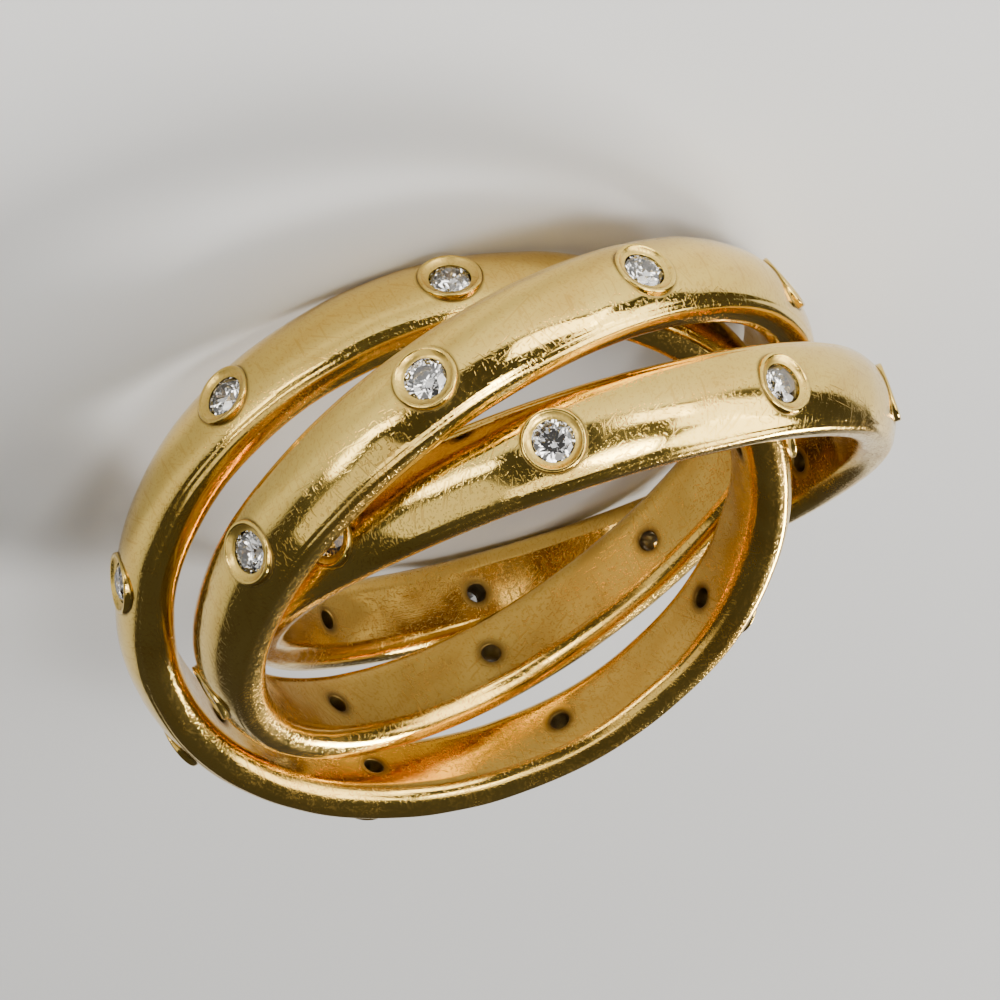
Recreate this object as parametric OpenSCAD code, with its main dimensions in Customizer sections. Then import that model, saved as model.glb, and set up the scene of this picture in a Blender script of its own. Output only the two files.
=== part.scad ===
// Rolling ring: three equal linked bands, each set all round with small round brilliants.
// Lengths are in millimetres and angles in degrees.
// The ring lies on its side: +Z is up, the floor is z = 0, and the origin is under the middle.

/* [Bands] */
// radius of a band over the crest of its dome
crest_radius = 11; // [8:0.1:14]
// width of a band from side to side
band_width = 2.9; // [2:0.1:4]
// thickness of a band from crest to inner face
band_wall = 1.6; // [1.2:0.1:2.4]
// radius of the dome across a band
dome_radius = 2.2; // [1.8:0.1:4]
// radius of the soft shoulder between dome and side
shoulder_round = 0.3; // [0.1:0.05:0.5]
// radius of the soft corner between side and inner face
inner_round = 0.6; // [0.1:0.05:0.7]

/* [Collars] */
// settings round each band
settings = 9; // [6:1:12]
// radius of the round collar that holds a stone
collar_radius = 0.95; // [0.8:0.05:1.2]
// height of the collar's rim above the crest of the dome
collar_rise = 0.02; // [0:0.01:0.1]
// depth of the solid part of the collar below its rim
collar_depth = 1; // [0.6:0.1:1.2]
// bevel round the collar's rim
collar_bevel = 0.04; // [0.02:0.01:0.1]
// radius of the dished face at the rim
dish_radius = 0.82; // [0.7:0.02:0.9]
// radius of the hole behind each stone
back_hole_radius = 0.28; // [0.2:0.02:0.4]

/* [Stones] */
// radius of a stone at its girdle
stone_radius = 0.65; // [0.5:0.05:0.8]
// radius of the table at its corners
table_radius = 0.37; // [0.3:0.01:0.45]
// height of the crown above the girdle
crown_height = 0.18; // [0.12:0.01:0.25]
// thickness of the girdle
girdle_height = 0.04; // [0.02:0.01:0.08]
// depth of the pavilion below the girdle
pavilion_depth = 0.55; // [0.45:0.01:0.6]
// depth of the table below the crest of the dome
table_drop = 0.01; // [0:0.01:0.1]
// gap between a stone and its seat
seat_gap = 0.02; // [0.01:0.01:0.05]
// how far the rubbed-over lip reaches in over the girdle
lip_overlap = 0.03; // [0:0.01:0.06]

/* [Placement] */
// place of the left band's centre along X and Y
left_centre = [1.68, 0.5]; // [-4:0.01:4]
// tilt of the left band's axis from upright
left_tilt = 17.5; // [0:0.1:30]
// heading of the left band's tilt, from +X towards +Y
left_heading = 258.9; // [0:0.1:360]
// turn of the left band about its own axis
left_turn = 36.5; // [0:0.1:40]
// place of the middle band's centre along X and Y
middle_centre = [-0.27, -0.78]; // [-4:0.01:4]
// height of the middle band's centre above the floor
middle_height = 4.45; // [4:0.01:5]
// tilt of the middle band's axis from upright
middle_tilt = 14.1; // [0:0.1:30]
// heading of the middle band's tilt, from +X towards +Y
middle_heading = 167.9; // [0:0.1:360]
// turn of the middle band about its own axis
middle_turn = 27.8; // [0:0.1:40]
// place of the right band's centre along X and Y
right_centre = [-1.69, 1.01]; // [-4:0.01:4]
// tilt of the right band's axis from upright
right_tilt = 16.5; // [0:0.1:30]
// heading of the right band's tilt, from +X towards +Y
right_heading = 82.8; // [0:0.1:360]
// turn of the right band about its own axis
right_turn = 25; // [0:0.1:40]

/* [Look] */
// colour of the yellow gold
gold_colour = [0.86, 0.71, 0.40];
// colour of the stones
stone_colour = [0.92, 0.94, 0.97];

/* [Hidden] */
$fn = 96;
band_facets = 180;
// how far a cutting solid runs past the face that it opens
overshoot = 0.1;
inner_radius = crest_radius - band_wall;
half_width = band_width / 2;
// centre of a shoulder arc, tangent to both the dome arc and the side
shoulder_side = half_width - shoulder_round;
shoulder_reach = dome_radius - shoulder_round;
shoulder_out = crest_radius - dome_radius + sqrt(shoulder_reach ^ 2 - shoulder_side ^ 2);
inner_arc_out = inner_radius + inner_round;
inner_arc_side = half_width - inner_round;
// heights along the stone's axis, measured from the band's axis
rim_level = crest_radius + collar_rise;
table_level = crest_radius - table_drop;
girdle_top = table_level - crown_height;
girdle_bottom = girdle_top - girdle_height;
lip_radius = stone_radius - lip_overlap;
lip_level = girdle_top + seat_gap + lip_overlap * crown_height / (stone_radius - table_radius);
seat_radius = stone_radius + seat_gap;
seat_slope = pavilion_depth / stone_radius;
seat_end_level = girdle_bottom - (seat_radius - back_hole_radius) * seat_slope;
stone_turn = 360 / settings;
// eight facets of each kind round a stone, sixteen at the girdle
facet_turn = 45;
half_turn = facet_turn / 2;
crown_slope = crown_height / (stone_radius - table_radius);
star_radius = (stone_radius + table_radius) / 2;
star_level = crown_height - crown_slope * (star_radius * cos(half_turn) - table_radius);
lower_radius = 0.22 * stone_radius;
lower_level = -girdle_height - seat_slope * (stone_radius - lower_radius * cos(half_turn));
culet_level = -girdle_height - pavilion_depth;
// a tilted band rests on its lower shoulder, which sets the height of its centre
function resting_height(tilt) =
    shoulder_side * cos(tilt) + shoulder_out * sin(tilt) + shoulder_round;

// cross-section of a band: X is the distance from the band's axis, Y runs across the band
module band_section() {
    spread = 2 * dome_radius / shoulder_reach;
    dome_centre = crest_radius - dome_radius;
    spread_out = dome_centre + spread * (shoulder_out - dome_centre);
    union() {
        translate([inner_radius, -inner_arc_side])
            square([shoulder_out - inner_radius, 2 * inner_arc_side]);
        translate([inner_arc_out, -half_width])
            square([shoulder_out - inner_arc_out, band_width]);
        for (side = [-1, 1]) {
            translate([inner_arc_out, side * inner_arc_side]) circle(inner_round);
            translate([shoulder_out, side * shoulder_side]) circle(shoulder_round);
        }
        // the dome, between the two shoulder arcs and no further in than their centres
        intersection() {
            translate([dome_centre, 0]) circle(dome_radius);
            polygon([
                [shoulder_out, -shoulder_side],
                [spread_out, -spread * shoulder_side],
                [spread_out, spread * shoulder_side],
                [shoulder_out, shoulder_side]
            ]);
        }
    }
}

// puts a child, made along +Z, on the axis of setting number i, pointing out of the band
module at_setting(i) {
    rotate([0, 0, stone_turn * i]) rotate([0, 90, 0]) children();
}

module collar() {
    translate([0, 0, rim_level - collar_depth])
        cylinder(r = collar_radius, h = collar_depth - collar_bevel);
    translate([0, 0, rim_level - collar_bevel])
        cylinder(r1 = collar_radius, r2 = collar_radius - collar_bevel, h = collar_bevel);
}

// the dished face, the girdle's groove, the pavilion's seat and the hole behind the stone
module seat_cut() {
    dish_slope = (dish_radius - lip_radius) / (rim_level - lip_level);
    translate([0, 0, lip_level])
        cylinder(r1 = lip_radius, r2 = dish_radius + overshoot * dish_slope, h = rim_level - lip_level + overshoot);
    translate([0, 0, girdle_top])
        cylinder(r1 = seat_radius, r2 = lip_radius, h = lip_level - girdle_top);
    translate([0, 0, girdle_bottom])
        cylinder(r = seat_radius, h = girdle_height);
    translate([0, 0, seat_end_level])
        cylinder(r1 = back_hole_radius, r2 = seat_radius, h = girdle_bottom - seat_end_level);
    translate([0, 0, inner_radius - overshoot])
        cylinder(r = back_hole_radius, h = seat_end_level - inner_radius + overshoot);
}

module band() {
    color(gold_colour) difference() {
        union() {
            rotate_extrude($fn = band_facets) band_section();
            for (i = [1:settings]) at_setting(i) collar();
        }
        for (i = [1:settings]) at_setting(i) seat_cut();
    }
}

// points round a circle about the stone's axis
function ring_points(count, radius, level, start) =
    [for (i = [0:count - 1])
        let (a = start + 360 / count * i) [radius * cos(a), radius * sin(a), level]];

// round brilliant with its girdle's top at z = 0
module brilliant() {
    points = concat(
        ring_points(8, table_radius, crown_height, 0),
        ring_points(8, star_radius, star_level, half_turn),
        ring_points(16, stone_radius, 0, 0),
        ring_points(16, stone_radius, -girdle_height, 0),
        ring_points(8, lower_radius, lower_level, half_turn),
        [[0, 0, culet_level]]
    );
    table = 0;
    star = 8;
    upper = 16;
    lower = 32;
    main = 48;
    culet = 56;
    faces = concat(
        [[for (i = [7:-1:0]) table + i]],
        [for (i = [0:7]) let (n = (i + 1) % 8)
            [table + i, table + n, star + i]],
        [for (i = [0:7]) let (p = (i + 7) % 8)
            [table + i, star + i, upper + 2 * i, star + p]],
        [for (i = [0:7])
            [star + i, upper + 2 * i + 1, upper + 2 * i]],
        [for (i = [0:7])
            [star + i, upper + (2 * i + 2) % 16, upper + 2 * i + 1]],
        [for (i = [0:15]) let (n = (i + 1) % 16)
            [upper + i, upper + n, lower + n, lower + i]],
        [for (i = [0:7])
            [lower + 2 * i, lower + 2 * i + 1, main + i]],
        [for (i = [0:7])
            [lower + 2 * i + 1, lower + (2 * i + 2) % 16, main + i]],
        [for (i = [0:7]) let (p = (i + 7) % 8)
            [lower + 2 * i, main + i, culet, main + p]]
    );
    polyhedron(points = points, faces = faces, convexity = 2);
}

module stone(i) {
    color(stone_colour) at_setting(i) translate([0, 0, girdle_top]) brilliant();
}

// turns a band, made round the Z axis, about its own axis, tilts it and moves it into place
module place(centre, height, tilt, heading, turn) {
    translate([centre.x, centre.y, height]) rotate([0, tilt, heading]) rotate([0, 0, turn]) children();
}

module place_left() {
    place(left_centre, resting_height(left_tilt), left_tilt, left_heading, left_turn) children();
}

module place_middle() {
    place(middle_centre, middle_height, middle_tilt, middle_heading, middle_turn) children();
}

module place_right() {
    place(right_centre, resting_height(right_tilt), right_tilt, right_heading, right_turn) children();
}

module band_left() {
    place_left() band();
}

module band_middle() {
    place_middle() band();
}

module band_right() {
    place_right() band();
}

module stone_left(i) {
    place_left() stone(i);
}

module stone_middle(i) {
    place_middle() stone(i);
}

module stone_right(i) {
    place_right() stone(i);
}

band_left();
band_middle();
band_right();
for (i = [1:settings]) {
    stone_left(i);
    stone_middle(i);
    stone_right(i);
}
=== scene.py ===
"""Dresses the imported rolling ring: polished gold bands, round collars and cut stones.

Three linked bands lie on a pale floor under soft studio light, seen at the photograph's angle.
Lengths named *_mm are millimetres; meshes are in metres, in the frame's own axes.
"""
import logging
import math
from dataclasses import dataclass, field
from enum import Enum
from typing import Optional, Sequence, Union

import bpy
import numpy as np
from mathutils import Matrix, Vector


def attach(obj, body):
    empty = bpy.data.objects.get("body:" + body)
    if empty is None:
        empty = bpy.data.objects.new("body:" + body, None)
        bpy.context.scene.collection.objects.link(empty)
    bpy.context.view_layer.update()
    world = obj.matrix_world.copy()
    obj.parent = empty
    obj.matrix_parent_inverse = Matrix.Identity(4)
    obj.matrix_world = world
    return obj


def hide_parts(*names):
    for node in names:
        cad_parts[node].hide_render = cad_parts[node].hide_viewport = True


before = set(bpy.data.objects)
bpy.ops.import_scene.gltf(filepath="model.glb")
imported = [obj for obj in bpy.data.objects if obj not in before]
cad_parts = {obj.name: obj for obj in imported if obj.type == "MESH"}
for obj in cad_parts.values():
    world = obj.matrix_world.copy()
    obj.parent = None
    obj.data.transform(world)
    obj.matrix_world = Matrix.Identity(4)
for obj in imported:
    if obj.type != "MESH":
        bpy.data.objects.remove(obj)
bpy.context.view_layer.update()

LOG = logging.getLogger("rolling_ring")
MM = 0.001
SETTINGS = 9
LIGHT_COLOUR = (1.0, 0.955, 0.885)


class BandName(Enum):
    """The three bands, in their order along the upper arc of the photograph."""

    LEFT = "left"
    MIDDLE = "middle"
    RIGHT = "right"

    @property
    def node(self) -> str:
        """Name of the band's CAD node."""
        return f"band_{self.value}"

    @property
    def body(self) -> str:
        """Name of the moving body that the band belongs to."""
        return f"{self.value}_ring"

    @property
    def order(self) -> int:
        """Place in the order of the bands, counted from 0."""
        return list(BandName).index(self)

    def stone(self, number: int) -> str:
        """Name of the CAD node of one stone, counted from 1."""
        return f"stone_{self.value}_{number}"


Linkable = Union["Wire", float, int, Sequence[float], bpy.types.NodeSocket]


class Wire:
    """One output socket whose arithmetic adds Math nodes to the same tree."""

    def __init__(self, tree: bpy.types.NodeTree, socket: bpy.types.NodeSocket) -> None:
        """Keeps the tree and the socket.

        Args:
            tree: node tree that new nodes go into.
            socket: output socket that this value stands for.
        """
        self.tree = tree
        self.socket = socket

    def _math(self, operation: str, first: Linkable, second: Linkable) -> "Wire":
        """Adds one Math node.

        Args:
            operation: Blender's name of the operation.
            first: first operand.
            second: second operand.

        Returns:
            The node's result.
        """
        node = self.tree.nodes.new("ShaderNodeMath")
        node.operation = operation
        for place, value in enumerate((first, second)):
            if isinstance(value, Wire):
                self.tree.links.new(value.socket, node.inputs[place])
            else:
                node.inputs[place].default_value = float(value)
        return Wire(self.tree, node.outputs[0])

    def __add__(self, other: Linkable) -> "Wire":
        """Sum of two values."""
        return self._math("ADD", self, other)

    __radd__ = __add__

    def __sub__(self, other: Linkable) -> "Wire":
        """Difference of two values."""
        return self._math("SUBTRACT", self, other)

    def __rsub__(self, other: Linkable) -> "Wire":
        """Difference with this value taken away."""
        return self._math("SUBTRACT", other, self)

    def __mul__(self, other: Linkable) -> "Wire":
        """Product of two values."""
        return self._math("MULTIPLY", self, other)

    __rmul__ = __mul__

    def at_most(self, limit: Linkable) -> "Wire":
        """The smaller of the value and a limit."""
        return self._math("MINIMUM", self, limit)

    def at_least(self, limit: Linkable) -> "Wire":
        """The larger of the value and a limit."""
        return self._math("MAXIMUM", self, limit)

    def rising(self, start: float, slope: float) -> "Wire":
        """0 up to a start, then rising at a slope, and 1 at most."""
        return ((self - start) * slope).at_least(0.0).at_most(1.0)


class Shader:
    """A material under construction, with one method that adds any node."""

    MIX_FIRST = 6
    MIX_SECOND = 7
    MIX_RESULT = 2

    def __init__(self, name: str) -> None:
        """Starts an empty material.

        Args:
            name: name of the material.
        """
        self.material = bpy.data.materials.new(name)
        self.material.use_nodes = True
        self.tree = self.material.node_tree
        self.tree.nodes.clear()
        self.output = self.tree.nodes.new("ShaderNodeOutputMaterial")

    def node(
        self,
        kind: str,
        settings: Optional[dict[str, object]] = None,
        values: Optional[dict[Union[str, int], Linkable]] = None,
        result: Union[str, int] = 0,
    ) -> Wire:
        """Adds one node, sets it up and joins its inputs.

        Args:
            kind: Blender's type name of the node.
            settings: properties of the node, set before its sockets.
            values: socket name or number to a value or a wire.
            result: name or number of the output wanted.

        Returns:
            The output as a wire.
        """
        made = self.tree.nodes.new(kind)
        for name, value in (settings or {}).items():
            setattr(made, name, value)
        for name, value in (values or {}).items():
            if isinstance(value, Wire):
                self.tree.links.new(value.socket, made.inputs[name])
            else:
                made.inputs[name].default_value = value
        return Wire(self.tree, made.outputs[result])

    def blend(self, share: Linkable, first: Linkable, second: Linkable) -> Wire:
        """Mixes two colours.

        Args:
            share: share of the second colour, from 0 to 1.
            first: colour at share 0.
            second: colour at share 1.

        Returns:
            The mixed colour.
        """
        values = {"Factor": share, self.MIX_FIRST: first, self.MIX_SECOND: second}
        return self.node("ShaderNodeMix", {"data_type": "RGBA"}, values, self.MIX_RESULT)

    def mark(self, name: str, result: str = "Fac") -> Wire:
        """Reads one of the attributes that a surface carries.

        Args:
            name: name of the attribute.
            result: output wanted, Fac for a number and Vector for a place.

        Returns:
            The attribute's value.
        """
        return self.node("ShaderNodeAttribute", {"attribute_name": name}, None, result)

    def cloud(self, place: Wire, scale: float, detail: float = 3.0, roughness: float = 0.5) -> Wire:
        """Noise without a direction of its own.

        Args:
            place: coordinates that the noise is read at.
            scale: cells in a unit of the coordinates.
            detail: octaves of finer noise.
            roughness: strength of each octave against the one before.

        Returns:
            The noise, about 0.5 on average.
        """
        values = {"Vector": place, "Scale": scale, "Detail": detail, "Roughness": roughness}
        return self.node("ShaderNodeTexNoise", {"noise_dimensions": "3D"}, values, "Fac")

    def bump(self, height: Wire, strength: float, distance: float) -> Wire:
        """Turns a height into a bumped normal.

        Args:
            height: height of the surface.
            strength: strength of the bump, from 0 to 1.
            distance: metres in a unit of the height.

        Returns:
            The normal.
        """
        values = {"Strength": strength, "Distance": distance, "Height": height}
        return self.node("ShaderNodeBump", None, values, "Normal")

    def finish(self, surface: Wire) -> bpy.types.Material:
        """Joins the surface to the output.

        Args:
            surface: the shader's result.

        Returns:
            The finished material.
        """
        self.tree.links.new(surface.socket, self.output.inputs["Surface"])
        return self.material


@dataclass(frozen=True)
class GoldFinish:
    """Yellow gold, polished once and worn since: drawn lines, scratches, dents, pits, tarnish, and dirt with
    painted shade round the collars' feet and in the back holes; the inside carries tarnish with painted
    shade.

    Its textures lie in each band's own axes, which the band's surface carries as "own". The
    surface's marks say where it is dished, where dirt and painted shade darken it, on the inside or on a
    side.
    """

    name: str = "worn_polished_gold"
    colour: tuple[float, float, float, float] = (0.86, 0.612, 0.15, 1.0)
    # Darker gold for tarnish, and for painted shade on the inside.
    tarnish_and_shade_colour: tuple[float, float, float, float] = (0.62, 0.37, 0.07, 1.0)
    # Near-black of dirt and painted shade, laid round the collars' feet and in the back holes.
    dirt_and_shade_colour: tuple[float, float, float, float] = (0.08, 0.05, 0.02, 1.0)
    polish: float = 0.07
    worn_haze: float = 0.09
    inside_haze: float = 0.07
    side_haze: float = 0.05
    dish_haze: float = 0.20
    scratch_haze: float = 0.10
    dirt_and_shade_haze: float = 0.30
    fine_roughness: float = 0.6
    patch_mm: float = 2.5
    worn_level: float = 0.42
    worn_slope: float = 4.0
    cloud_mm: tuple[float, float, float] = (4.25, 4.25, 1.0)
    cloud_turn_deg: tuple[float, float, float] = (20, 10, 0)
    cloud_level: float = 0.45
    cloud_slope: float = 3.0
    cloud_tarnish: float = 0.5
    scratch_tarnish: float = 0.4
    side_tarnish: float = 0.6
    # Tarnish with painted shade on the inside, evenly and on patches.
    inside_tarnish_and_shade: float = 0.25
    inside_patch_tarnish_and_shade: float = 0.7
    # How strongly dirt and painted shade darken the collars' feet and the back holes.
    least_dirt_and_shade: float = 0.35
    patch_dirt_and_shade: float = 1.3
    dirt_and_shade_cover: float = 0.85
    scratch_mm: tuple[float, float, float] = (3.5, 0.075, 0.075)
    scratch_turns_deg: tuple[tuple[float, float, float], ...] = (
        (12, 35, 20),
        (70, -20, 110),
        (-35, 60, 65),
        (25, 80, -40),
        (0, 15, 150),
    )
    scratch_level: float = 0.68
    scratch_slope: float = 12.0
    scratch_depth_mm: float = 0.00153
    drawn_mm: tuple[float, float, float] = (5.0, 5.0, 0.06)
    drawn_depth_mm: float = 0.00054
    inside_drawn_depth_mm: float = 0.00063
    pit_mm: tuple[float, float, float] = (0.04, 0.04, 0.04)
    pit_depth_mm: float = 0.00018
    worn_pit_depth_mm: float = 0.00045
    side_pit_depth_mm: float = 0.00045
    side_worn_pit_depth_mm: float = 0.0009
    dent_mm: tuple[float, float, float] = (1.1, 1.1, 0.7)
    dent_turn_deg: tuple[float, float, float] = (15, 0, 0)
    dent_depth_mm: float = 0.004

    def _noise(
        self,
        shader: Shader,
        cell_mm: tuple[float, float, float],
        turn_deg: tuple[float, float, float] = (0.0, 0.0, 0.0),
        detail: float = 2.0,
    ) -> Wire:
        """Noise in the band's own axes, with its own cell size along each.

        Args:
            shader: material that the nodes go into.
            cell_mm: size of the noise's cells along three axes.
            turn_deg: turns of those axes.
            detail: octaves of finer noise.

        Returns:
            The noise, about 0.5 on average.
        """
        turn = tuple(math.radians(angle) for angle in turn_deg)
        turned = shader.node(
            "ShaderNodeMapping",
            {"vector_type": "TEXTURE"},
            {"Vector": shader.mark("own", "Vector"), "Rotation": turn, "Scale": cell_mm},
        )
        return shader.cloud(turned, 1.0, detail, self.fine_roughness)

    def _scratches(self, shader: Shader) -> Wire:
        """Thin straight scratches: the peaks of noises that are each stretched along one direction.

        Args:
            shader: material that the nodes go into.

        Returns:
            1 on a scratch and 0 beside it.
        """
        peaks = [self._noise(shader, self.scratch_mm, turn, 0.0) for turn in self.scratch_turns_deg]
        highest = peaks[0]
        for peak in peaks[1:]:
            highest = highest.at_least(peak)
        return highest.rising(self.scratch_level, self.scratch_slope)

    def _relief(self, shader: Shader, scratches: Wire, worn: Wire) -> Wire:
        """Height of the worn surface: pits and drawn lines, less the scratches, on wide soft dents.

        Pits are deeper on worn patches and on the sides, and drawn lines deeper on the inside.

        Args:
            shader: material that the nodes go into.
            scratches: 1 on a scratch.
            worn: 1 on a worn patch.

        Returns:
            The height in mm.
        """
        side = shader.mark("side")
        pit_depth = self.pit_depth_mm + self.worn_pit_depth_mm * worn
        pit_depth = pit_depth + side * (self.side_pit_depth_mm + self.side_worn_pit_depth_mm * worn)
        drawn_depth = self.drawn_depth_mm + self.inside_drawn_depth_mm * shader.mark("inside")
        fine = pit_depth * self._noise(shader, self.pit_mm, detail=3.0)
        fine = fine + drawn_depth * self._noise(shader, self.drawn_mm) - self.scratch_depth_mm * scratches
        return fine + self.dent_depth_mm * self._noise(shader, self.dent_mm, self.dent_turn_deg, 1.0)

    def material(self) -> bpy.types.Material:
        """Builds the material.

        Returns:
            The gold, with wear, dirt and painted shade in its colour, and wear in its roughness and its bump.
        """
        shader = Shader(self.name)
        scratches = self._scratches(shader)
        patches = self._noise(shader, (self.patch_mm,) * 3)
        worn = patches.rising(self.worn_level, self.worn_slope)
        inside, side, dished = (shader.mark(name) for name in ("inside", "side", "dished"))
        clouds = self._noise(shader, self.cloud_mm, self.cloud_turn_deg)
        tarnish_and_shade = self.cloud_tarnish * clouds.rising(self.cloud_level, self.cloud_slope)
        tarnish_and_shade = tarnish_and_shade + self.scratch_tarnish * scratches + self.side_tarnish * side * worn
        # The inside is darkened by tarnish and painted shade.
        tarnish_and_shade = tarnish_and_shade + inside * (self.inside_tarnish_and_shade + self.inside_patch_tarnish_and_shade * patches)
        # Dirt and painted shade: near-black round the collars' feet and in the back holes.
        grime = (shader.mark("grime") * (self.least_dirt_and_shade + self.patch_dirt_and_shade * patches)).at_most(1.0)
        tarnished_and_shaded = shader.blend(tarnish_and_shade.at_most(1.0), self.colour, self.tarnish_and_shade_colour)
        colour = shader.blend(self.dirt_and_shade_cover * grime, tarnished_and_shaded, self.dirt_and_shade_colour)
        roughness = self.polish + self.worn_haze * worn + self.inside_haze * inside + self.side_haze * side
        roughness = roughness + self.dish_haze * dished + self.scratch_haze * scratches
        roughness = roughness + self.dirt_and_shade_haze * grime
        relief = self._relief(shader, scratches, worn)
        bump = shader.bump(relief, 1.0, MM)
        surface = shader.node(
            "ShaderNodeBsdfPrincipled",
            {"distribution": "MULTI_GGX"},
            {"Base Color": colour, "Metallic": 1.0, "Roughness": roughness, "Normal": bump},
        )
        return shader.finish(surface)


@dataclass(frozen=True)
class StoneFinish:
    """Clear brilliant-cut stone with a faint uneven film of handling."""

    name: str = "clear_brilliant"
    colour: tuple[float, float, float, float] = (0.985, 0.99, 1.0, 1.0)
    filmed: tuple[float, float, float, float] = (0.93, 0.94, 0.96, 1.0)
    index: float = 2.42
    film_haze: float = 0.03
    film_mm: float = 0.5
    film_level: float = 0.45
    film_slope: float = 4.0

    def material(self) -> bpy.types.Material:
        """Builds the material.

        Returns:
            A clear, strongly refracting surface.
        """
        shader = Shader(self.name)
        place = shader.node("ShaderNodeTexCoord", result="Object")
        film = shader.cloud(place, 1 / (self.film_mm * MM)).rising(self.film_level, self.film_slope)
        values = {
            "Base Color": shader.blend(film, self.colour, self.filmed),
            "Roughness": self.film_haze * film,
            "IOR": self.index,
            "Transmission Weight": 1.0,
        }
        return shader.finish(shader.node("ShaderNodeBsdfPrincipled", None, values))


@dataclass(frozen=True)
class FloorFinish:
    """Plain pale matte floor with a faint change of tone and a fine tooth."""

    name: str = "pale_floor"
    colour: tuple[float, float, float, float] = (0.600, 0.615, 0.635, 1.0)
    deeper: tuple[float, float, float, float] = (0.555, 0.57, 0.59, 1.0)
    roughness: float = 0.7
    cloud_mm: float = 30.0
    tooth_mm: float = 0.4
    tooth_haze: float = 0.1
    tooth_depth_mm: float = 0.02
    tooth_strength: float = 0.25

    def material(self) -> bpy.types.Material:
        """Builds the material.

        Returns:
            A matte pale surface.
        """
        shader = Shader(self.name)
        place = shader.node("ShaderNodeTexCoord", result="Object")
        cloud, tooth = (shader.cloud(place, 1 / (size * MM)) for size in (self.cloud_mm, self.tooth_mm))
        values = {
            "Base Color": shader.blend(cloud, self.colour, self.deeper),
            "Roughness": self.roughness + self.tooth_haze * tooth,
            "Normal": shader.bump(tooth, self.tooth_strength, self.tooth_depth_mm * MM),
        }
        return shader.finish(shader.node("ShaderNodeBsdfPrincipled", None, values))


Loop = tuple[np.ndarray, np.ndarray, np.ndarray]


def quad_mesh(name: str, points_mm: np.ndarray, quads: np.ndarray) -> bpy.types.Mesh:
    """Makes a smooth mesh of quads.

    Args:
        name: name of the mesh.
        points_mm: points in mm.
        quads: vertex numbers, four in a row.

    Returns:
        The mesh.
    """
    corners = quads.shape[1]
    mesh = bpy.data.meshes.new(name)
    mesh.vertices.add(len(points_mm))
    mesh.vertices.foreach_set("co", (points_mm * MM).ravel())
    mesh.loops.add(quads.size)
    mesh.loops.foreach_set("vertex_index", quads.ravel().astype(np.int32))
    mesh.polygons.add(len(quads))
    mesh.polygons.foreach_set("loop_start", np.arange(0, quads.size, corners, dtype=np.int32))
    mesh.polygons.foreach_set("use_smooth", np.ones(len(quads), bool))
    mesh.update(calc_edges=True)
    mesh.validate()
    return mesh


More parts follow.
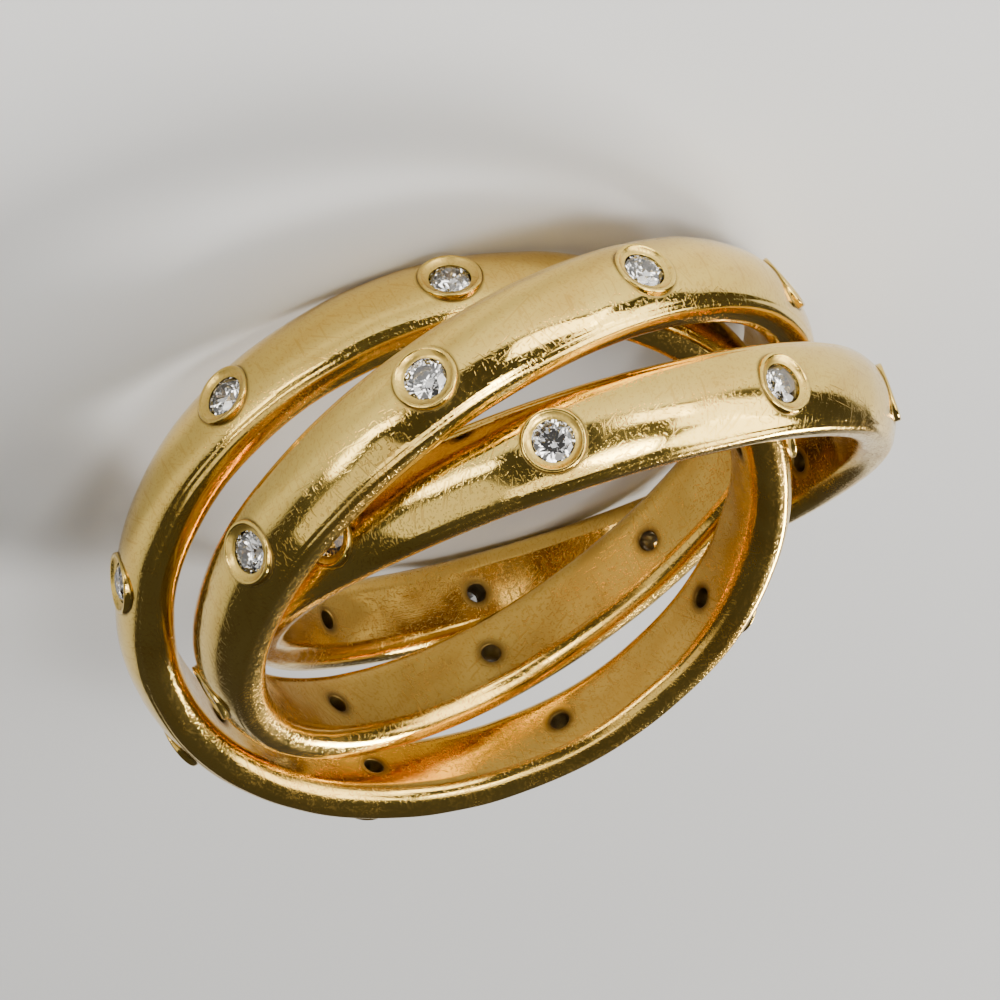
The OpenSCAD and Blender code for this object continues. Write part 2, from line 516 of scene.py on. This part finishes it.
@dataclass(frozen=True)
class BandSection:
    """Cross-section of a band: domed outside, flat sides, flat inner face with soft corners."""

    crest_mm: float = 11.0
    width_mm: float = 2.9
    wall_mm: float = 1.6
    dome_mm: float = 2.2
    shoulder_mm: float = 0.3
    corner_mm: float = 0.6
    side_crown_mm: float = 0.02
    dome_half_mm: float = 1.22
    inner_half_mm: float = 0.8
    dome_end_points: int = 4
    shoulder_points: int = 8
    side_points: int = 5
    corner_points: int = 10

    @property
    def inner_mm(self) -> float:
        """Radius of the inner face."""
        return self.crest_mm - self.wall_mm

    def dome_out(self, across: np.ndarray) -> np.ndarray:
        """Distance of the dome from the band's axis: a circle of the dome's radius.

        Args:
            across: distances from the middle of the band, in mm.

        Returns:
            Distances from the axis, in mm.
        """
        return self.crest_mm - self.dome_mm + np.sqrt(self.dome_mm**2 - across**2)

    def dome_height(self, along: np.ndarray, across: np.ndarray) -> np.ndarray:
        """Height of the dome over the plane of a setting, by the sides of a right triangle.

        Args:
            along: distances along the band from the setting's axis, in mm.
            across: distances across the band, in mm.

        Returns:
            Heights from the band's axis, in mm.
        """
        return np.sqrt(self.dome_out(across) ** 2 - along**2)

    def inner_height(self, along: np.ndarray) -> np.ndarray:
        """Height of the inner face over the plane of a setting, by the sides of a right triangle.

        Args:
            along: distances along the band from the setting's axis, in mm.

        Returns:
            Heights from the band's axis, in mm.
        """
        return np.sqrt(self.inner_mm**2 - along**2)

    def outline(self, cells: int) -> np.ndarray:
        """Closed outline, counted from one edge of the setting's field on the dome.

        Dome points lie on a circle, and the shoulder and the inner corner are arcs. The side
        between them is highest in its middle and falls off with the square of the distance
        from it. The second half of the outline mirrors the first.

        Args:
            cells: number of cells across the dome's field and across the inner field.

        Returns:
            Array of (distance from the axis, distance across), in mm.
        """
        half = self.width_mm / 2
        side_arc = half - self.shoulder_mm
        reach = self.dome_mm - self.shoulder_mm
        out_arc = self.crest_mm - self.dome_mm + math.sqrt(reach**2 - side_arc**2)
        meet = math.atan2(side_arc, math.sqrt(reach**2 - side_arc**2))
        field_across = np.linspace(-self.dome_half_mm, self.dome_half_mm, cells + 1)
        dome = np.stack([self.dome_out(field_across), field_across], 1)
        end_across = np.linspace(self.dome_half_mm, self.dome_mm * math.sin(meet), self.dome_end_points)[1:-1]
        dome_end = np.stack([self.dome_out(end_across), end_across], 1)
        turn = np.linspace(meet, math.pi / 2, self.shoulder_points)
        shoulder_out = out_arc + self.shoulder_mm * np.cos(turn)
        shoulder = np.stack([shoulder_out, side_arc + self.shoulder_mm * np.sin(turn)], 1)
        corner_arc = self.inner_mm + self.corner_mm
        side_out = np.linspace(out_arc, corner_arc, self.side_points)[1:-1]
        side = np.stack([side_out, np.full_like(side_out, half)], 1)
        turn = np.linspace(0, math.pi / 2, self.corner_points)
        corner_across = half - self.corner_mm + self.corner_mm * np.cos(turn)
        corner = np.stack([corner_arc - self.corner_mm * np.sin(turn), corner_across], 1)
        flank = np.concatenate([dome_end, shoulder, side, corner])
        from_middle = (flank[:, 0] - (out_arc + corner_arc) / 2) / ((out_arc - corner_arc) / 2)
        flank[:, 1] -= self.side_crown_mm * np.clip(from_middle**2, 0, 1)
        inner_across = np.linspace(self.inner_half_mm, -self.inner_half_mm, cells + 1)
        inner = np.stack([np.full_like(inner_across, self.inner_mm), inner_across], 1)
        mirrored = flank[::-1] * np.array([1.0, -1.0])
        return np.concatenate([dome, flank, inner, mirrored])


@dataclass(frozen=True)
class SettingSection:
    """Section of a setting round its own axis: collar, dished face, lip, seat and back hole."""

    collar_mm: float = 0.95
    rise_mm: float = 0.02
    foot_round_mm: float = 0.03
    rim_round_mm: float = 0.055
    edge_round_mm: float = 0.035
    dish_mm: float = 0.82
    lip_mm: float = 0.63
    lip_drop_mm: float = 0.11
    lip_round_mm: float = 0.012
    lip_under_mm: tuple[float, float] = (0.02, 0.015)
    seat_mm: float = 0.67
    groove_drop_mm: float = 0.19
    groove_height_mm: float = 0.04
    hole_mm: float = 0.32
    seat_slope: float = 0.55 / 0.65
    hole_round_mm: float = 0.05
    foot_flatness: float = 0.6
    foot_points: int = 4
    wall_shares: tuple[float, ...] = (0.35, 0.7)
    rim_points: int = 5
    edge_lead_mm: float = 0.015
    edge_fall_mm: float = 0.002
    dish_shares: tuple[float, ...] = (0.12, 0.3, 0.5, 0.7, 0.88)
    hole_shares: tuple[float, ...] = (0.3, 0.7, 1.0)
    mouth_points: int = 5

    def collar_loops(self, crest_mm: float, foot: np.ndarray) -> list[tuple[float, np.ndarray]]:
        """Loops from the dome up the collar's wall and in over its rim.

        The foot is a flattened quarter circle that turns up into the wall, and the rim a quarter
        circle that turns in to the flat top.

        Args:
            crest_mm: radius of the band over its crest.
            foot: height of the dome round the collar's foot, for each point of a loop.

        Returns:
            Pairs of a loop's radius and its heights along the setting's axis.
        """
        loops: list[tuple[float, np.ndarray]] = []
        for turn in np.linspace(0, math.pi / 2, self.foot_points)[1:]:
            radius = self.collar_mm + self.foot_round_mm * (1 - math.sin(turn))
            loops.append((radius, foot + self.foot_round_mm * (1 - math.cos(turn)) * self.foot_flatness))
        wall_foot = loops[-1][1]
        wall_top = np.full_like(foot, crest_mm + self.rise_mm - self.rim_round_mm)
        for share in self.wall_shares:
            loops.append((self.collar_mm, wall_foot + share * (wall_top - wall_foot)))
        for turn in np.linspace(0, math.pi / 2, self.rim_points):
            radius = self.collar_mm - self.rim_round_mm * (1 - math.cos(turn))
            loops.append((radius, wall_top + self.rim_round_mm * math.sin(turn)))
        return loops

    def seat_loops(self, crest_mm: float, inner_mm: float) -> list[tuple[float, float]]:
        """Loops from the rim down the dished face, the lip, the groove and the seat to the back hole.

        Args:
            crest_mm: radius of the band over its crest.
            inner_mm: radius of the band's inner face.

        Returns:
            Pairs of a loop's radius and its height along the setting's axis.
        """
        top = crest_mm + self.rise_mm
        lip = crest_mm - self.lip_drop_mm
        groove = crest_mm - self.groove_drop_mm
        groove_end = groove - self.groove_height_mm
        seat_end = groove_end - (self.seat_mm - self.hole_mm) * self.seat_slope
        edge = self.dish_mm + self.edge_round_mm
        dish_top = top - self.edge_round_mm
        loops = [(edge + self.edge_lead_mm, top), (edge, top - self.edge_fall_mm), (self.dish_mm, dish_top)]
        for share in self.dish_shares:
            radius = self.dish_mm + share * (self.lip_mm - self.dish_mm)
            loops.append((radius, dish_top - math.sin(share * math.pi / 2) * (dish_top - lip)))
        under = lip - self.lip_round_mm * 2
        under_out, under_fall = self.lip_under_mm
        mouth = inner_mm + self.hole_round_mm
        loops += [
            (self.lip_mm, lip),
            (self.lip_mm - self.lip_round_mm / 2, lip - self.lip_round_mm),
            (self.lip_mm, under),
            (self.lip_mm + under_out, under - under_fall),
            (self.seat_mm, groove),
            (self.seat_mm, groove_end),
            ((self.seat_mm + self.hole_mm) / 2, (groove_end + seat_end) / 2),
            (self.hole_mm, seat_end),
            *((self.hole_mm, seat_end + share * (mouth - seat_end)) for share in self.hole_shares),
        ]
        return loops

    def mouth_loops(self) -> list[tuple[float, float]]:
        """Loops of the hole's mouth, a quarter circle that turns out to the inner face.

        Returns:
            Pairs of a loop's radius and its height above the inner face, in mm.
        """
        turns = np.linspace(0, math.pi / 2, self.mouth_points)[1:]
        fall = self.hole_round_mm
        return [(self.hole_mm + fall * (1 - math.cos(turn)), fall * (1 - math.sin(turn))) for turn in turns]


@dataclass(frozen=True)
class BodyGrid:
    """Grid over a band's body: its columns turn round the band and its rows follow the outline."""

    turns: np.ndarray
    outline: np.ndarray

    @property
    def columns(self) -> int:
        """Number of turns."""
        return len(self.turns)

    @property
    def rows(self) -> int:
        """Number of points of the outline."""
        return len(self.outline)

    def quads(self, left_out: np.ndarray) -> np.ndarray:
        """Quads of the grid, which closes both ways.

        Args:
            left_out: true for each column and row whose cell has no quad.

        Returns:
            Array of quads.
        """
        column, row = np.indices((self.columns, self.rows))
        next_column = (column + 1) % self.columns
        next_row = (row + 1) % self.rows
        corners = ((column, row), (next_column, row), (next_column, next_row), (column, next_row))
        return np.stack([turned * self.rows + down for turned, down in corners], -1)[~left_out]

    def edge(self, columns: np.ndarray, rows: np.ndarray) -> np.ndarray:
        """Vertex numbers round the edge of a rectangular field.

        Args:
            columns: the field's column numbers.
            rows: the field's row numbers.

        Returns:
            Vertex numbers in order round the field, each once.
        """
        low = columns[:-1] * self.rows + rows[0]
        right = columns[-1] * self.rows + rows[:-1]
        high = columns[:0:-1] * self.rows + rows[-1]
        left = columns[0] * self.rows + rows[:0:-1]
        return np.concatenate([low, right, high, left])

    def in_plane(self, edge: np.ndarray, middle: float) -> np.ndarray:
        """Places of an edge's points in the plane of a setting.

        The distance along is the distance from the band's axis times the sine of the turn.

        Args:
            edge: vertex numbers of the edge.
            middle: turn of the setting, in radians.

        Returns:
            Two rows, distances along the band and across it, in mm.
        """
        out, across = self.outline[edge % self.rows].T
        turn = self.turns[edge // self.rows] - middle
        return np.stack([out * np.sin(turn), across])


@dataclass
class Band:
    """One band of the ring: its place is read from the stones that the frame holds."""

    name: BandName
    material: bpy.types.Material
    section: BandSection = field(default_factory=BandSection)
    setting: SettingSection = field(default_factory=SettingSection)
    field_cells: int = 20
    field_columns: int = 24
    plain_columns: int = 40
    field_half_deg: float = 7.8
    field_layers: int = 10
    ripple_seed: int = 11
    ripple_waves: int = 40
    ripple_mm: tuple[float, float] = (1.0, 5.0)
    ripple_slope: float = 0.0010
    # Reach of the dirt and painted shade from the collar's foot and from the back hole's wall.
    foot_dirt_and_shade_mm: float = 0.05
    hole_dirt_and_shade_mm: float = 0.22
    inside_fade_mm: float = 0.45
    side_fade_mm: float = 0.3
    mark_margin_mm: float = 0.001
    own_gap_mm: float = 40.0

    def __post_init__(self) -> None:
        """Works out the band's centre, axis and first setting from its stones."""
        middles = np.array([self._stone_middle(i + 1) for i in range(SETTINGS)])
        self.centre_mm = middles.mean(0)
        spokes = middles - self.centre_mm
        axis = np.cross(spokes, np.roll(spokes, -1, 0)).sum(0)
        self.axis = axis / np.linalg.norm(axis)
        self.first = spokes[0] / np.linalg.norm(spokes[0])
        self.along = np.cross(self.axis, self.first)

    def _stone_middle(self, number: int) -> np.ndarray:
        """Mean of a stone's corners, which lies on the axis of its setting.

        Args:
            number: stone's number, from 1.

        Returns:
            The point in mm.
        """
        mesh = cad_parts[self.name.stone(number)].data
        corners = np.empty(len(mesh.vertices) * 3)
        mesh.vertices.foreach_get("co", corners)
        return np.unique(np.round(corners.reshape(-1, 3) / MM, 4), axis=0).mean(0)

    def _to_frame(self, turn: np.ndarray, out: np.ndarray, across: np.ndarray) -> np.ndarray:
        """Cylinder coordinates about the band's axis to points of the frame.

        A point is the centre, plus out along the spoke at the given turn, plus across along the axis.

        Args:
            turn: angles from the first setting, in radians.
            out: distances from the axis, in mm.
            across: distances along the axis, in mm.

        Returns:
            Points in mm, with one more axis than the inputs.
        """
        spoke = np.cos(turn)[..., None] * self.first + np.sin(turn)[..., None] * self.along
        return self.centre_mm + spoke * out[..., None] + self.axis * across[..., None]

    def _ripple(self, points: np.ndarray) -> np.ndarray:
        """Soft unevenness of worn gold: a sum of plane waves of random direction and phase.

        Args:
            points: points in mm.

        Returns:
            Height of the ripple at each point, in mm.
        """
        draw = np.random.default_rng(self.name.order + self.ripple_seed)
        waves = draw.normal(size=(self.ripple_waves, 3))
        waves /= np.linalg.norm(waves, axis=1)[:, None]
        lengths = draw.uniform(*self.ripple_mm, self.ripple_waves)
        phases = draw.uniform(0, 2 * math.pi, self.ripple_waves)
        angles = (points @ (waves / lengths[:, None]).T) * 2 * math.pi + phases
        return (np.cos(angles) * (self.ripple_slope * lengths)).sum(-1)

    def _turns(self) -> np.ndarray:
        """Turns of the grid's columns: close together over a setting's field, evenly between fields.

        Returns:
            Angles in radians, starting at the near edge of the first setting's field.
        """
        half = math.radians(self.field_half_deg)
        step = 2 * math.pi / SETTINGS
        over = np.linspace(-half, half, self.field_columns, endpoint=False)
        between = np.linspace(half, step - half, self.plain_columns, endpoint=False)
        one = np.concatenate([over, between])
        return (np.arange(SETTINGS)[:, None] * step + one).ravel()

    def build(self) -> bpy.types.Object:
        """Builds the band as one closed surface and makes it stand for the CAD band.

        The body of the band is a grid of turns by outline points. Round each setting a rectangle
        of the grid is left out on the dome and on the inner face. Rings run from the outer
        rectangle to the collar's foot, over the collar and through the seat, and out to the
        inner rectangle.

        Returns:
            The band's object.
        """
        grid = BodyGrid(self._turns(), self.section.outline(self.field_cells))
        column, row = np.indices((grid.columns, grid.rows))
        body = self._to_frame(grid.turns[column], grid.outline[row, 0], grid.outline[row, 1])
        dome_rows = np.arange(self.field_cells + 1)
        inner_rows = grid.rows // 2 + dome_rows
        per_setting = self.field_columns + self.plain_columns
        in_field = column % per_setting < self.field_columns
        in_field &= np.isin(row, dome_rows[:-1]) | np.isin(row, inner_rows[:-1])
        points = [body.reshape(-1, 3)]
        quads = [grid.quads(in_field)]
        marks = [np.zeros((column.size, 2))]
        count = column.size
        for number in range(SETTINGS):
            picked = number * per_setting + np.arange(self.field_columns + 1)
            edges = grid.edge(picked, dome_rows), grid.edge(picked, inner_rows)
            fresh, fresh_marks, rings = self._setting_rings(grid, number, *edges, count)
            points.append(fresh)
            quads.append(self._rings_to_quads(rings))
            marks.append(fresh_marks)
            count += len(fresh)
        return self._to_object(np.concatenate(points), np.concatenate(quads), np.concatenate(marks))

    @staticmethod
    def _rings_to_quads(rings: Sequence[np.ndarray]) -> np.ndarray:
        """Quads between each closed ring of vertices and the next.

        Args:
            rings: arrays of vertex numbers, all of one length.

        Returns:
            Array of quads.
        """
        outer = np.stack(rings[:-1])
        inner = np.stack(rings[1:])
        quads = np.stack([outer, np.roll(outer, -1, 1), np.roll(inner, -1, 1), inner], -1)
        return quads.reshape(-1, 4)

    def _setting_rings(
        self, grid: BodyGrid, number: int, outer_edge: np.ndarray, inner_edge: np.ndarray, start: int
    ) -> tuple[np.ndarray, np.ndarray, list[np.ndarray]]:
        """New points of one setting and the rings that they form.

        In the setting's own plane a point has a distance along the band and one across it, and
        its height is its distance from the band's axis, taken along the setting's axis.

        Args:
            grid: grid of the band's body.
            number: setting's number, from 0.
            outer_edge: vertex numbers round the field on the dome.
            inner_edge: vertex numbers round the field on the inner face.
            start: number of the first new vertex.

        Returns:
            The new points in mm, the marks of each point, and all rings from the outer edge to
            the inner edge.
        """
        middle = number * 2 * math.pi / SETTINGS
        outer = grid.in_plane(outer_edge, middle)
        inner = grid.in_plane(inner_edge, middle)
        angle = np.arctan2(outer[1] / self.section.dome_half_mm, outer[0] / outer[0].max())
        circle = np.stack([np.cos(angle), np.sin(angle)])
        matched = self._match_inner(circle, inner)
        loops = self._dome_loops(circle, outer)
        foot = loops[-1][2]
        loops += self._seat_loops(circle, foot) + self._inner_loops(circle, inner[:, matched])
        along, across, height = (np.array(part) for part in zip(*loops))
        fresh = self._to_frame(middle + np.arctan2(along, height), np.hypot(along, height), across)
        rings = [start + i * len(angle) + np.arange(len(angle)) for i in range(len(loops))]
        marks = self._marks(np.hypot(along, across), height, foot)
        return fresh.reshape(-1, 3), marks, [outer_edge, *rings, inner_edge[matched]]

    @staticmethod
    def _match_inner(circle: np.ndarray, edge: np.ndarray) -> np.ndarray:
        """Order of the inner edge's points that goes round the same way as the circle.

        Args:
            circle: cosines and sines of the circle's points.
            edge: places along and across of the inner edge's points.

        Returns:
            Positions in the inner edge, one for each point of the circle.
        """
        own = np.arctan2(edge[1] / np.abs(edge[1]).max(), edge[0] / np.abs(edge[0]).max())
        wanted = np.arctan2(circle[1], circle[0])
        order = np.empty(len(own), int)
        order[np.argsort(wanted)] = np.argsort(own)
        return order

    def _dome_loops(self, circle: np.ndarray, edge: np.ndarray) -> list[Loop]:
        """Loops on the dome, from a field's edge straight in to the circle of the collar's foot.

        Args:
            circle: cosines and sines of the circle's points.
            edge: places along and across of the field's edge points.

        Returns:
            The loops, from the edge to the foot.
        """
        foot = self.setting.collar_mm + self.setting.foot_round_mm
        loops: list[Loop] = []
        for share in np.linspace(1, 0, self.field_layers + 1)[1:]:
            along, across = share * edge + (1 - share) * foot * circle
            loops.append((along, across, self.section.dome_height(along, across)))
        return loops

    def _seat_loops(self, circle: np.ndarray, foot: np.ndarray) -> list[Loop]:
        """Loops over the collar, through the seat and out of the hole's mouth.

        Args:
            circle: cosines and sines of the circle's points.
            foot: heights of the collar's foot.

        Returns:
            The loops, from the foot to the inner face.
        """
        section, setting = self.section, self.setting
        loops: list[Loop] = []
        for radius, height in setting.collar_loops(section.crest_mm, foot):
            loops.append((*(radius * circle), height))
        for radius, level in setting.seat_loops(section.crest_mm, section.inner_mm):
            loops.append((*(radius * circle), np.full_like(foot, level)))
        for radius, rise in setting.mouth_loops():
            along, across = radius * circle
            loops.append((along, across, section.inner_height(along) + rise))
        return loops

    def _inner_loops(self, circle: np.ndarray, edge: np.ndarray) -> list[Loop]:
        """Loops on the inner face, from the hole's mouth straight out to a field's edge.

        Args:
            circle: cosines and sines of the circle's points.
            edge: places along and across of the field's edge points.

        Returns:
            The loops between the mouth and the edge.
        """
        mouth = self.setting.hole_mm + self.setting.hole_round_mm
        loops: list[Loop] = []
        for share in np.linspace(0, 1, self.field_layers + 1)[1:-1]:
            along, across = share * edge + (1 - share) * mouth * circle
            loops.append((along, across, self.section.inner_height(along)))
        return loops

    def _marks(self, radius: np.ndarray, height: np.ndarray, foot: np.ndarray) -> np.ndarray:
        """Where the face is dished, and where dirt and painted shade darken it.

        The dirt and painted shade is a bell curve of the distance from the collar's foot, plus one
        of the distance from the wall of the back hole.

        Args:
            radius: distances of a setting's points from its axis, in mm.
            height: heights of the points along the axis, in mm.
            foot: height of the collar's foot, for each point of a loop.

        Returns:
            Two columns, dished and dirt with painted shade, from 0 to 1.
        """
        setting, section, margin = self.setting, self.section, self.mark_margin_mm
        dished = (radius < setting.dish_mm + margin) & (radius > setting.lip_mm - margin)
        dished &= height > section.crest_mm - setting.lip_drop_mm - margin
        from_foot = (radius - setting.collar_mm) ** 2 + (height - foot) ** 2
        groove = section.crest_mm - setting.groove_drop_mm - setting.groove_height_mm
        past_wall = height - np.clip(height, section.inner_mm, groove)
        from_wall = (radius - setting.hole_mm) ** 2 + past_wall**2
        # Dirt and painted shade, strongest at the collar's foot and on the back hole's wall.
        grime = np.exp(-from_foot / self.foot_dirt_and_shade_mm**2) + np.exp(-from_wall / self.hole_dirt_and_shade_mm**2)
        return np.stack([dished.ravel().astype(float), np.minimum(grime, 1).ravel()], 1)

    def _to_object(self, points: np.ndarray, quads: np.ndarray, marks: np.ndarray) -> bpy.types.Object:
        """Makes the mesh object, with the ripple put on and unused points left out.

        A point is inside where its distance from the band's axis is that of the inner face, and
        on a side where its distance across is half the band's width. Both marks fade with distance.

        Args:
            points: points in mm.
            quads: vertex numbers of the quads.
            marks: two columns, dished and dirt with painted shade, for each point.

        Returns:
            The object, dressed and riding on its body.
        """
        used, compact = np.unique(quads, return_inverse=True)
        points = points[used]
        spoke = points - self.centre_mm
        level = spoke @ self.axis
        ray = spoke - level[:, None] * self.axis
        out = np.linalg.norm(ray, axis=1)
        points = points + ray / out[:, None] * self._ripple(points)[:, None]
        mesh = quad_mesh(f"{self.name.node}_gold", points, compact.reshape(quads.shape))
        faces = {
            "dished": marks[used, 0],
            "grime": marks[used, 1],
            "inside": np.clip(1 - (out - self.section.inner_mm) / self.inside_fade_mm, 0, 1),
            "side": np.clip(1 + (np.abs(level) - self.section.width_mm / 2) / self.side_fade_mm, 0, 1),
        }
        for mark, values in faces.items():
            mesh.attributes.new(mark, "FLOAT", "POINT").data.foreach_set("value", values)
        own = np.stack([spoke @ self.first, spoke @ self.along, level], -1)
        own += self.own_gap_mm * self.name.order
        mesh.attributes.new("own", "FLOAT_VECTOR", "POINT").data.foreach_set("vector", own.ravel())
        mesh.materials.append(self.material)
        piece = bpy.data.objects.new(mesh.name, mesh)
        bpy.context.collection.objects.link(piece)
        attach(piece, self.name.body)
        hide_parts(self.name.node)
        return piece


@dataclass
class Stones:
    """The cut stones of one band, kept from the frame and given their finish."""

    name: BandName
    material: bpy.types.Material

    def dress(self) -> list[bpy.types.Object]:
        """Gives each stone's node the stone material.

        Returns:
            The stones' objects.
        """
        stones = [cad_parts[self.name.stone(i + 1)] for i in range(SETTINGS)]
        for stone in stones:
            for place in stone.material_slots:
                place.material = self.material
        return stones


@dataclass(frozen=True)
class Softbox:
    """A rectangular soft light that looks at a point."""

    name: str
    azimuth_deg: float
    elevation_deg: float
    distance_mm: float
    width_mm: float
    height_mm: float
    power_w: float
    target_mm: tuple[float, float, float] = (0.0, 0.0, 4.6)
    spread_deg: float = 180.0

    def build(self) -> bpy.types.Object:
        """Makes the light.

        Returns:
            The light's object.
        """
        data = bpy.data.lights.new(self.name, "AREA")
        data.shape = "RECTANGLE"
        data.size = self.width_mm * MM
        data.size_y = self.height_mm * MM
        data.energy = self.power_w
        data.spread = math.radians(self.spread_deg)
        data.color = LIGHT_COLOUR
        lamp = bpy.data.objects.new(self.name, data)
        azimuth, elevation = math.radians(self.azimuth_deg), math.radians(self.elevation_deg)
        level = math.cos(elevation)
        away = Vector((math.sin(azimuth) * level, -math.cos(azimuth) * level, math.sin(elevation)))
        lamp.location = (Vector(self.target_mm) + away * self.distance_mm) * MM
        lamp.rotation_euler = away.to_track_quat("Z", "Y").to_euler()
        bpy.context.collection.objects.link(lamp)
        return lamp


@dataclass
class Studio:
    """Floor, soft light and camera."""

    lens_mm: float = 124.0
    sensor_mm: float = 36.0
    camera_mm: tuple[float, float, float] = (-0.04, -95.57, 53.71)
    elevation_deg: float = 27.65
    roll_deg: float = 159.2
    near_mm: float = 5.0
    far_mm: float = 10000.0
    floor_mm: float = 1200.0
    ambient: float = 0.075
    softboxes: tuple[Softbox, ...] = (
        Softbox("back_light", 211, 31, 420, 110, 110, 2.6),
        Softbox("key_right", -88, 43, 200, 140, 100, 0.27),
        Softbox("low_far_right", -68, 20, 200, 120, 76, 0.13),
        Softbox("low_right", -40, 9, 200, 110, 52, 0.13),
        Softbox("front_panel", -16, 62, 250, 190, 66, 0.10),
        Softbox("left_panel", 42, 38, 200, 140, 120, 0.055),
        Softbox("low_left", 30, 6, 200, 110, 38, 0.10),
        Softbox("pool_light", -40, 70, 130, 60, 40, 0.04, (-24.0, -58.0, 0.0), 60.0),
    )

    def build_floor(self) -> bpy.types.Object:
        """Makes the floor, one flat square.

        Returns:
            The floor's object.
        """
        half = self.floor_mm / 2 * MM
        corners = [(-half, -half, 0.0), (half, -half, 0.0), (half, half, 0.0), (-half, half, 0.0)]
        mesh = bpy.data.meshes.new("floor")
        mesh.from_pydata(corners, [], [(0, 1, 2, 3)])
        floor = bpy.data.objects.new("floor", mesh)
        bpy.context.collection.objects.link(floor)
        mesh.materials.append(FloorFinish().material())
        return floor

    def build_light(self) -> None:
        """Sets a dim surround and makes the soft lights."""
        world = bpy.data.worlds.new("studio")
        world.use_nodes = True
        background = world.node_tree.nodes["Background"]
        background.inputs["Color"].default_value = (*LIGHT_COLOUR, 1.0)
        background.inputs["Strength"].default_value = self.ambient
        bpy.context.scene.world = world
        for softbox in self.softboxes:
            softbox.build()

    def build_camera(self) -> bpy.types.Object:
        """Makes the camera at the photograph's angle to the ring.

        It looks along +Y and down by the elevation, and is rolled about its line of sight.

        Returns:
            The camera's object.
        """
        data = bpy.data.cameras.new("camera")
        data.lens = self.lens_mm
        data.sensor_width = self.sensor_mm
        data.clip_start = self.near_mm * MM
        data.clip_end = self.far_mm * MM
        camera = bpy.data.objects.new("camera", data)
        level = Matrix.Rotation(math.radians(90 - self.elevation_deg), 4, "X")
        roll = Matrix.Rotation(math.radians(self.roll_deg), 4, "Z")
        camera.matrix_world = Matrix.Translation(Vector(self.camera_mm) * MM) @ level @ roll
        bpy.context.collection.objects.link(camera)
        bpy.context.scene.camera = camera
        return camera


def main() -> None:
    """Builds the bands, dresses the stones and sets up the studio."""
    logging.basicConfig(level=logging.INFO, format="%(message)s")
    gold = GoldFinish().material()
    clear = StoneFinish().material()
    for name in BandName:
        band = Band(name, gold).build()
        LOG.info("%s: %d points", band.name, len(band.data.vertices))
        stones = Stones(name, clear).dress()
        LOG.info("%s: %d stones", name.value, len(stones))
    studio = Studio()
    studio.build_floor()
    studio.build_light()
    studio.build_camera()


if __name__ == "__main__":
    main()
